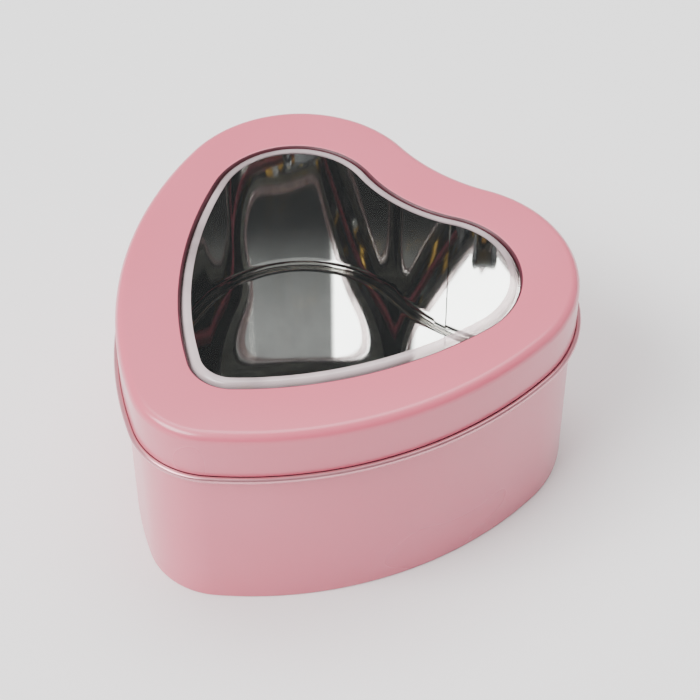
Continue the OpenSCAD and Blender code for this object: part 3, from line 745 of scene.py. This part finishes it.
class HEART_OT_floor(bpy.types.Operator):
    """Builds the bright floor pan with its holes for key and screws"""

    bl_idname = "heart.floor"
    bl_label = "Floor pan"

    def execute(self, context):
        s = sizes()
        sheet, bend, top = s["sheet"], s["floor_bend"], s["floor_top"]
        outer = -(sheet + s["lid_gap"]) - sheet
        centre = (outer - bend, top - bend)
        flat = outer - bend - 0.6
        foot, key_hole, screw_hole = 0.6, 2.6, 1.35
        profile = run(TIN, [(outer, foot)], 0)
        profile += run(TIN, arc(centre, bend, 0, 90, 12), 0)
        inner_wall = len(profile)
        profile += run(TIN, [(flat, top), (flat, top - sheet)], 0)
        profile += run(TIN, arc(centre, bend - sheet, 90, 0, 12), 0)
        profile += run(TIN, [(outer - sheet, foot)], 0)
        loops = [outline(TIN, flat), circle_loop(*in_movement(BARREL_X, 0.0), key_hole)]
        loops += [circle_loop(*in_movement(x, y), screw_hole, 24) for x, y in MOVEMENT_SCREWS]
        panel = plate(loops, top - sheet, top, open_rim=True)
        edge = sweep(profile, inner_wall)
        floor = to_object("floor_bright", *join_parts(edge, panel), ("tin",))
        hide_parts("floor_pan")
        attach(floor, "tin_body")
        return {"FINISHED"}


# Screw places in the movement's plan, mm
MOVEMENT_SCREWS = ((-3.5, 11.5), (27.0, 1.0), (11.5, -18.0), (-20.5, -8.5))
BRACKET_SCREWS = ((3.9, 9.0), (26.6, -5.6))
GOVERNOR_SCREWS = ((23.6, 7.9), (22.6, 16.2))
COMB_SCREWS = ((6.2, -21.3), (17.4, -21.3))

# ---------------------------------------------------------------------------
# Geometry Nodes
# ---------------------------------------------------------------------------


def new_geometry_tree(name, inputs):
    """A geometry node group with a geometry output and the given named inputs."""
    tree = bpy.data.node_groups.new(name, "GeometryNodeTree")
    tree.interface.new_socket("Geometry", in_out="INPUT", socket_type="NodeSocketGeometry")
    tree.interface.new_socket("Geometry", in_out="OUTPUT", socket_type="NodeSocketGeometry")
    for label, kind in inputs:
        tree.interface.new_socket(label, in_out="INPUT", socket_type=kind)
    entry = tree.nodes.new("NodeGroupInput")
    leave = tree.nodes.new("NodeGroupOutput")
    return tree, entry, leave


def evaluate_nodes(name, tree, values, points=()):
    """Runs a geometry node tree on loose points and returns the result as a plain object."""
    mesh = bpy.data.meshes.new(name + "_points")
    mesh.from_pydata([tuple(p) for p in points], [], [])
    carrier = bpy.data.objects.new(name + "_carrier", mesh)
    bpy.context.scene.collection.objects.link(carrier)
    modifier = carrier.modifiers.new("Nodes", "NODES")
    modifier.node_group = tree
    for item in tree.interface.items_tree:
        if item.in_out == "INPUT" and item.name in values:
            modifier[item.identifier] = values[item.name]
    graph = bpy.context.evaluated_depsgraph_get()
    result = bpy.data.meshes.new_from_object(carrier.evaluated_get(graph))
    result.name = name
    bpy.data.objects.remove(carrier)
    piece = bpy.data.objects.new(name, result)
    bpy.context.scene.collection.objects.link(piece)
    return piece


def math_node(tree, operation, a, b=None):
    """A math node on sockets or numbers; returns its output."""
    node = add_node(tree, "ShaderNodeMath", {"operation": operation})
    for index, value in enumerate((a, b)):
        if value is None:
            continue
        if isinstance(value, (int, float)):
            node.inputs[index].default_value = value
        else:
            tree.links.new(value, node.inputs[index])
    return node.outputs[0]


def raised(tree, geometry_socket, height):
    """Geometry moved up by a height."""
    shift = add_node(tree, "ShaderNodeCombineXYZ", links={2: height})
    return add_node(
        tree, "GeometryNodeTransform",
        links={"Geometry": geometry_socket, "Translation": shift.outputs[0]},
    ).outputs[0]


def place_and_dress(tree, leave, points, instance, turn, material):
    """Ends a tree: an instance on each point, turned, made real and given its material."""
    placed = add_node(
        tree, "GeometryNodeInstanceOnPoints",
        links={"Points": points, "Instance": instance, "Rotation": turn.outputs[0]},
    )
    real = add_node(tree, "GeometryNodeRealizeInstances", links={0: placed.outputs[0]})
    dressed = add_node(
        tree, "GeometryNodeSetMaterial", links={"Geometry": real.outputs[0], "Material": material},
    )
    tree.links.new(dressed.outputs[0], leave.inputs[0])


# Degrees between one tooth's pins and the next one's, and how far a pin strays
GOLDEN_ANGLE = 137.5
PIN_WANDER = 17.0
# Share of a screw head's height that is chamfered
HEAD_CHAMFER = 0.22


def pins_tree():
    """Pins on a cylinder lying along X: one row of pins for each tooth of the comb."""
    tree, entry, leave = new_geometry_tree(
        "CylinderPins",
        (
            ("Teeth", "NodeSocketInt"), ("Pins per tooth", "NodeSocketInt"),
            ("First X", "NodeSocketFloat"), ("Pitch", "NodeSocketFloat"),
            ("Axis height", "NodeSocketFloat"), ("Surface radius", "NodeSocketFloat"),
            ("Pin height", "NodeSocketFloat"), ("Pin radius", "NodeSocketFloat"),
            ("Material", "NodeSocketMaterial"),
        ),
    )
    given = entry.outputs
    calc = partial(math_node, tree)
    total = calc("MULTIPLY", given["Teeth"], given["Pins per tooth"])
    line = add_node(tree, "GeometryNodeMeshLine", links={"Count": total})
    index = add_node(tree, "GeometryNodeInputIndex").outputs[0]
    tooth = calc("FLOOR", calc("DIVIDE", index, given["Pins per tooth"]))
    pin = calc("SUBTRACT", index, calc("MULTIPLY", tooth, given["Pins per tooth"]))
    spread = calc("DIVIDE", 360.0, given["Pins per tooth"])
    # Each row is turned by the golden angle, and each pin wanders a little from its place
    mix = calc("ADD", calc("MULTIPLY", tooth, 53.0), calc("MULTIPLY", pin, 71.0))
    wander = calc("MULTIPLY", PIN_WANDER, calc("SINE", calc("RADIANS", mix)))
    even = calc("ADD", calc("MULTIPLY", tooth, GOLDEN_ANGLE), calc("MULTIPLY", pin, spread))
    angle = calc("RADIANS", calc("ADD", even, wander))
    radius = calc("ADD", given["Surface radius"], calc("MULTIPLY", given["Pin height"], 0.5))
    x = calc("ADD", given["First X"], calc("MULTIPLY", tooth, given["Pitch"]))
    y = calc("MULTIPLY", radius, calc("MULTIPLY", -1.0, calc("SINE", angle)))
    z = calc("ADD", given["Axis height"], calc("MULTIPLY", radius, calc("COSINE", angle)))
    place = add_node(tree, "ShaderNodeCombineXYZ", links={0: x, 1: y, 2: z})
    spots = add_node(
        tree, "GeometryNodeSetPosition",
        links={"Geometry": line.outputs["Mesh"], "Position": place.outputs[0]},
    )
    # A pin that tapers a little, centred on its place
    shank = add_node(
        tree, "GeometryNodeMeshCone",
        values={"Vertices": 14, "Fill Segments": 2},
        links={
            "Radius Top": calc("MULTIPLY", given["Pin radius"], 0.72),
            "Radius Bottom": given["Pin radius"], "Depth": given["Pin height"],
        },
    )
    centred = raised(tree, shank.outputs["Mesh"], calc("MULTIPLY", given["Pin height"], -0.5))
    turn = add_node(tree, "ShaderNodeCombineXYZ", links={0: angle})
    place_and_dress(tree, leave, spots.outputs[0], centred, turn, given["Material"])
    return tree


def screws_tree():
    """Slotted cheese-head screws at the given points, heads upwards or downwards."""
    tree, entry, leave = new_geometry_tree(
        "SlottedScrews",
        (
            ("Head radius", "NodeSocketFloat"), ("Head height", "NodeSocketFloat"),
            ("Shank radius", "NodeSocketFloat"), ("Shank length", "NodeSocketFloat"),
            ("Slot width", "NodeSocketFloat"), ("Tilt", "NodeSocketFloat"),
            ("Turn step", "NodeSocketFloat"), ("Material", "NodeSocketMaterial"),
        ),
    )
    given = entry.outputs
    calc = partial(math_node, tree)

    def drum(radius, top_radius, depth):
        return add_node(
            tree, "GeometryNodeMeshCone", values={"Vertices": 48},
            links={"Radius Bottom": radius, "Radius Top": top_radius, "Depth": depth},
        ).outputs["Mesh"]

    side = calc("MULTIPLY", given["Head height"], 1.0 - HEAD_CHAMFER)
    chamfer = calc("MULTIPLY", given["Head height"], HEAD_CHAMFER)
    narrow = calc("MULTIPLY", given["Head radius"], 0.88)
    lower = drum(given["Head radius"], given["Head radius"], side)
    upper = raised(tree, drum(given["Head radius"], narrow, chamfer), side)
    overlap = add_node(
        tree, "GeometryNodeMeshBoolean", {"operation": "UNION", "solver": "EXACT"}
    )
    tree.links.new(lower, overlap.inputs[1])
    tree.links.new(upper, overlap.inputs[1])
    across = calc("MULTIPLY", given["Head radius"], 3.0)
    size = add_node(
        tree, "ShaderNodeCombineXYZ",
        links={0: across, 1: given["Slot width"], 2: given["Head height"]},
    )
    cutter = add_node(tree, "GeometryNodeMeshCube", links={"Size": size.outputs[0]})
    slot = raised(tree, cutter.outputs["Mesh"], calc("MULTIPLY", given["Head height"], 1.05))
    head = add_node(
        tree, "GeometryNodeMeshBoolean", {"operation": "DIFFERENCE", "solver": "EXACT"},
        links={0: overlap.outputs[0]},
    )
    tree.links.new(slot, head.inputs[1])
    shank = raised(
        tree, drum(given["Shank radius"], given["Shank radius"], given["Shank length"]),
        calc("MULTIPLY", given["Shank length"], -1.0),
    )
    whole = add_node(tree, "GeometryNodeJoinGeometry")
    tree.links.new(head.outputs[0], whole.inputs[0])
    tree.links.new(shank, whole.inputs[0])
    index = add_node(tree, "GeometryNodeInputIndex").outputs[0]
    turn = add_node(
        tree, "ShaderNodeCombineXYZ",
        links={0: given["Tilt"], 2: calc("MULTIPLY", index, given["Turn step"])},
    )
    place_and_dress(tree, leave, given["Geometry"], whole.outputs[0], turn, given["Material"])
    return tree


class HEART_OT_pins(bpy.types.Operator):
    """Builds the music cylinder's pins with a geometry node tree"""

    bl_idname = "heart.pins"
    bl_label = "Cylinder pins"

    def execute(self, context):
        settings = context.scene.heart_tin
        values = {
            "Teeth": settings.comb_teeth, "Pins per tooth": settings.pins_per_tooth,
            "First X": 3.4 * MM, "Pitch": 1.05 * MM, "Axis height": 9.5 * MM,
            "Surface radius": 5.99 * MM, "Pin height": 0.46 * MM, "Pin radius": 0.15 * MM,
            "Material": MATERIALS["steel"],
        }
        pins = evaluate_nodes("cylinder_pins_set", pins_tree(), values)
        pins.data.transform(movement_matrix())
        clean_and_shade(pins.data)
        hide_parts("cylinder_pins")
        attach(pins, "cylinder")
        return {"FINISHED"}


class HEART_OT_screws(bpy.types.Operator):
    """Builds every group of screws with one geometry node tree"""

    bl_idname = "heart.screws"
    bl_label = "Screws"

    def execute(self, context):
        tree = screws_tree()
        bridge = math.radians(130.0)
        reach = 15.3
        posts = [
            (BARREL_X + side * reach * math.cos(bridge), side * reach * math.sin(bridge))
            for side in (-1, 1)
        ]
        bedplate_top, frame_foot = 2.5, 0.9
        frame_top = bedplate_top + frame_foot
        # Node, places, height under the head, tilt, and in mm the head's radius and height,
        # the shank's radius and length and the slot's width
        groups = (
            ("movement_screws", MOVEMENT_SCREWS, -0.7, math.pi, (2.1, 1.3, 1.25, 2.4, 0.42)),
            ("bridge_screws", posts, 19.2, 0.0, (1.9, 1.0, 1.0, 5.5, 0.4)),
            ("bracket_screws", BRACKET_SCREWS, 3.5, 0.0, (1.4, 0.8, 0.7, 2.6, 0.34)),
            ("comb_screws", COMB_SCREWS, 9.95, 0.0, (1.9, 1.2, 1.0, 9.0, 0.4)),
            ("governor_screws", GOVERNOR_SCREWS, frame_top, 0.0, (1.4, 0.8, 0.7, 2.5, 0.34)),
        )
        for node, spots, height, tilt, shape in groups:
            head, head_height, shank, length, slot = (v * MM for v in shape)
            values = {
                "Head radius": head, "Head height": head_height, "Shank radius": shank,
                "Shank length": length, "Slot width": slot, "Tilt": tilt,
                "Turn step": 0.9, "Material": MATERIALS["screw"],
            }
            points = [(x * MM, y * MM, height * MM) for x, y in spots]
            screws = evaluate_nodes(node + "_slotted", tree, values, points)
            screws.data.transform(movement_matrix())
            clean_and_shade(screws.data)
            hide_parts(node)
            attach(screws, "tin_body")
        return {"FINISHED"}


# ---------------------------------------------------------------------------
# Operators: winding key and the rest of the movement
# ---------------------------------------------------------------------------


class HEART_OT_key(bpy.types.Operator):
    """Builds the flat winding key: a notched disc with finger holes and a hub"""

    bl_idname = "heart.key"
    bl_label = "Winding key"

    def execute(self, context):
        radius, bottom, thick, notches, notch_r = 8.7, -3.6, 1.5, 10, 1.6
        finger_reach, finger_r = 5.4, 1.9
        reach = radius + 0.6
        pitch = 2 * math.pi / notches
        loop = []
        for i in range(360):
            angle = math.radians(i)
            off = (angle % pitch) - pitch / 2
            side = reach * math.sin(off)
            r = radius
            if abs(side) < notch_r:
                r = min(r, reach * math.cos(off) - math.sqrt(notch_r**2 - side**2))
            loop.append((r * math.cos(angle), r * math.sin(angle)))
        holes = [circle_loop(side * finger_reach, 0.0, finger_r, 36) for side in (-1, 1)]
        body = plate([loop] + holes, bottom, bottom + thick)
        disc = to_object("winding_key_nickel", *body, ("nickel",))
        soften(disc, 0.25 * MM, 3)
        hub_profile = (
            (0.0, -3.75), (2.1, -3.75), (2.4, -3.55), (2.4, -2.6), (3.0, -2.0), (3.0, -1.1),
            (2.8, -0.9), (1.5, -0.9), (1.5, -3.3), (0.0, -3.3),
        )
        merge(disc, lathe("key_hub", hub_profile, "nickel", 64))
        place = movement_matrix() @ Matrix.Translation((BARREL_X * MM, 0.0, 0.0))
        disc.data.transform(place)
        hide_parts("winding_key")
        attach(disc, "winding_gear")
        return {"FINISHED"}


BEVEL_ANGLE = 50.0


def soften(piece, width, segments):
    """Bevels the hard edges of a finished mesh in place."""
    modifier = piece.modifiers.new("Bevel", "BEVEL")
    modifier.width = width
    modifier.segments = segments
    modifier.limit_method = "ANGLE"
    modifier.angle_limit = math.radians(BEVEL_ANGLE)
    graph = bpy.context.evaluated_depsgraph_get()
    mesh = bpy.data.meshes.new_from_object(piece.evaluated_get(graph))
    piece.modifiers.clear()
    piece.data = mesh
    clean_and_shade(piece.data, BEVEL_ANGLE)


def lathe(name, profile, key, count):
    """Turns a closed profile of (radius, height) in mm about Z."""
    vertices, faces = [], []
    size = len(profile)
    for i in range(count):
        angle = 2 * math.pi * i / count
        for radius, height in profile:
            vertices.append(
                (radius * MM * math.cos(angle), radius * MM * math.sin(angle), height * MM)
            )
    for i in range(count):
        ahead = (i + 1) % count
        for j in range(size):
            k = (j + 1) % size
            if profile[j][0] or profile[k][0]:
                faces.append((i * size + j, ahead * size + j, ahead * size + k, i * size + k))
    return to_object(name, vertices, faces, [0] * len(faces), (key,), 30.0)


def merge(target, other):
    """Adds another object's mesh to a piece."""
    work = bmesh.new()
    work.from_mesh(target.data)
    work.from_mesh(other.data)
    work.to_mesh(target.data)
    work.free()
    bpy.data.objects.remove(other)


class HEART_OT_movement(bpy.types.Operator):
    """Dresses the CAD pieces of the movement in their metals"""

    bl_idname = "heart.movement"
    bl_label = "Movement finishes"

    def execute(self, context):
        dress = {
            "zinc": ("bedplate_casting", "barrel_bridge", "comb_base", "governor_frame"),
            "brass": (
                "great_wheel", "spring_drum", "drum_cover", "cylinder_pinion", "cylinder_wheel",
                "left_bearing_bracket", "right_bearing_bracket", "music_cylinder", "worm_wheel",
            ),
            "steel": (
                "winding_arbor", "ratchet_wheel", "bridge_posts", "click", "cylinder_arbor",
                "transfer_arbor", "transfer_pinion", "governor_worm", "comb",
            ),
            "blued": ("mainspring", "click_spring"),
            "screw": ("click_screw",),
            "tin": ("movement_washers",),
            "lead": ("comb_tuning_weights",),
            "acetal": ("governor_fan",),
        }
        for key, nodes in dress.items():
            for node in nodes:
                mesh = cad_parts[node].data
                mesh.materials.clear()
                mesh.materials.append(MATERIALS[key])
        return {"FINISHED"}


# ---------------------------------------------------------------------------
# Stage
# ---------------------------------------------------------------------------


def smooth_range(tree, source, low, high):
    """A smooth step from 0 at low to 1 at high."""
    return add_node(
        tree, "ShaderNodeMapRange", {"interpolation_type": "SMOOTHSTEP"},
        {"From Min": low, "From Max": high}, {"Value": source},
    ).outputs["Result"]


# Parts of the studio, in degrees: where one lies (azimuth, inner and outer half width), the
# elevations between which it rises or falls away, and its radiance
ROOM_LEVEL, CEILING_LEVEL, CEILING_RISE = 0.6, 2.4, (50.0, 72.0)
SOFTBOX, SOFTBOX_LEVEL = (-21.0, 22.0, 32.0), 17.0
SOFTBOX_RISE, SOFTBOX_FALL = (30.0, 38.0), (54.0, 64.0)
BACK_BOX, BACK_BOX_RISE, BACK_BOX_LEVEL = (-142.0, 45.0, 75.0), (51.0, 60.0), 6.0
END_WALL, END_WALL_RISE = (62.0, 46.0, 58.0), (43.4, 46.5)
END_WALL_LOW, END_WALL_HIGH = 0.25, 0.6
LOW_END, LOW_END_TOP, LOW_END_LEVEL = (54.0, 56.0, 66.0), (43.0, 44.2), 0.02


def studio_world():
    """A soft studio as a sky: a pale room, a large softbox, a ceiling and a dark room end.

    Azimuths turn from -Y towards +X, elevations count from the horizon, both in degrees.
    """
    world = bpy.data.worlds.new("soft_studio")
    world.use_nodes = True
    tree = world.node_tree
    tree.nodes.clear()
    sight = add_node(tree, "ShaderNodeTexCoord").outputs["Generated"]
    height = add_node(tree, "ShaderNodeSeparateXYZ", links={0: sight}).outputs["Z"]
    level = add_node(
        tree, "ShaderNodeVectorMath", {"operation": "MULTIPLY"}, {1: (1.0, 1.0, 0.0)}, {0: sight}
    )
    level = add_node(
        tree, "ShaderNodeVectorMath", {"operation": "NORMALIZE"}, links={0: level.outputs[0]}
    ).outputs[0]

    def sector(azimuth, inner, outer):
        turn = math.radians(azimuth)
        heading = add_node(
            tree, "ShaderNodeVectorMath", {"operation": "DOT_PRODUCT"},
            {1: (math.sin(turn), -math.cos(turn), 0.0)}, {0: level},
        ).outputs["Value"]
        return smooth_range(
            tree, heading, math.cos(math.radians(outer)), math.cos(math.radians(inner))
        )

    def rise(low, high):
        return smooth_range(
            tree, height, math.sin(math.radians(low)), math.sin(math.radians(high))
        )

    def times(a, b):
        return math_node(tree, "MULTIPLY", a, b)

    def mix(share, low, high):
        """low where share is 0, high where it is 1."""
        return math_node(
            tree, "ADD", times(math_node(tree, "SUBTRACT", 1.0, share), low), times(share, high)
        )

    room = mix(rise(*CEILING_RISE), ROOM_LEVEL, CEILING_LEVEL)
    back_box = times(sector(*BACK_BOX), rise(*BACK_BOX_RISE))
    room = mix(back_box, room, BACK_BOX_LEVEL)
    box_top = math_node(tree, "SUBTRACT", 1.0, rise(*SOFTBOX_FALL))
    box = times(sector(*SOFTBOX), times(rise(*SOFTBOX_RISE), box_top))
    room = mix(box, room, SOFTBOX_LEVEL)
    wall = mix(rise(*END_WALL_RISE), END_WALL_LOW, END_WALL_HIGH)
    room = mix(sector(*END_WALL), room, wall)
    low_end = times(sector(*LOW_END), math_node(tree, "SUBTRACT", 1.0, rise(*LOW_END_TOP)))
    room = mix(low_end, room, LOW_END_LEVEL)
    glow = add_node(tree, "ShaderNodeBackground", values={"Color": grey(1.0)}, links={1: room})
    output = add_node(tree, "ShaderNodeOutputWorld")
    tree.links.new(glow.outputs[0], output.inputs["Surface"])
    return world


# The point the camera looks at, and its sensor's width, mm
CAMERA_AIM = (-0.89, 14.57, 20.17)
SENSOR_WIDTH = 36.0


class HEART_OT_stage(bpy.types.Operator):
    """Builds the pale floor, the soft lights and the camera"""

    bl_idname = "heart.stage"
    bl_label = "Stage"

    def execute(self, context):
        scene = context.scene
        half = 3.0  # metres
        mesh = bpy.data.meshes.new("studio_floor")
        mesh.from_pydata(
            [(-half, -half, 0), (half, -half, 0), (half, half, 0), (-half, half, 0)], [],
            [(0, 1, 2, 3)],
        )
        floor = bpy.data.objects.new("studio_floor", mesh)
        scene.collection.objects.link(floor)
        mesh.materials.append(
            surface_material("paper_white_matte", ("#FAFAFA", "#FDFDFD"), (0.85, 0.95), cell=0.2)
        )

        scene.world = studio_world()

        settings = scene.heart_stage
        azimuth, elevation = settings.azimuth, settings.elevation
        back = Vector((
            math.sin(azimuth) * math.cos(elevation),
            -math.cos(azimuth) * math.cos(elevation),
            math.sin(elevation),
        ))
        aim = Vector(CAMERA_AIM) * MM
        data = bpy.data.cameras.new("studio_camera")
        data.sensor_width = SENSOR_WIDTH
        data.lens = settings.lens
        data.clip_start, data.clip_end = 0.01, 20.0
        camera = bpy.data.objects.new("studio_camera", data)
        camera.location = aim + settings.distance * back
        camera.rotation_euler = (-back).to_track_quat("-Z", "Y").to_euler()
        scene.collection.objects.link(camera)
        scene.camera = camera
        return {"FINISHED"}


# ---------------------------------------------------------------------------
# Panel and registration
# ---------------------------------------------------------------------------

BUILD_ORDER = (
    HEART_OT_lid, HEART_OT_window, HEART_OT_body, HEART_OT_floor, HEART_OT_pins,
    HEART_OT_screws, HEART_OT_key, HEART_OT_movement, HEART_OT_stage,
)


class HEART_PT_panel(bpy.types.Panel):
    """Lists the settings and the builders"""

    bl_label = "Heart tin"
    bl_idname = "HEART_PT_panel"
    bl_space_type = "VIEW_3D"
    bl_region_type = "UI"
    bl_category = "Heart tin"

    def draw(self, context):
        layout = self.layout
        for group in (context.scene.heart_tin, context.scene.heart_stage):
            box = layout.box()
            for name in group.__annotations__:
                box.prop(group, name)
        for operator in BUILD_ORDER:
            layout.operator(operator.bl_idname)


CLASSES = (HeartTinSettings, HeartTinStage) + BUILD_ORDER + (HEART_PT_panel,)


def register():
    for cls in CLASSES:
        bpy.utils.register_class(cls)
    bpy.types.Scene.heart_tin = bpy.props.PointerProperty(type=HeartTinSettings)
    bpy.types.Scene.heart_stage = bpy.props.PointerProperty(type=HeartTinStage)


def unregister():
    del bpy.types.Scene.heart_stage
    del bpy.types.Scene.heart_tin
    for cls in reversed(CLASSES):
        bpy.utils.unregister_class(cls)


def main():
    """Registers the add-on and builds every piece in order."""
    register()
    MATERIALS.update(build_materials())
    for operator in BUILD_ORDER:
        group, name = operator.bl_idname.split(".")
        getattr(getattr(bpy.ops, group), name)()


if __name__ == "__main__":
    main()
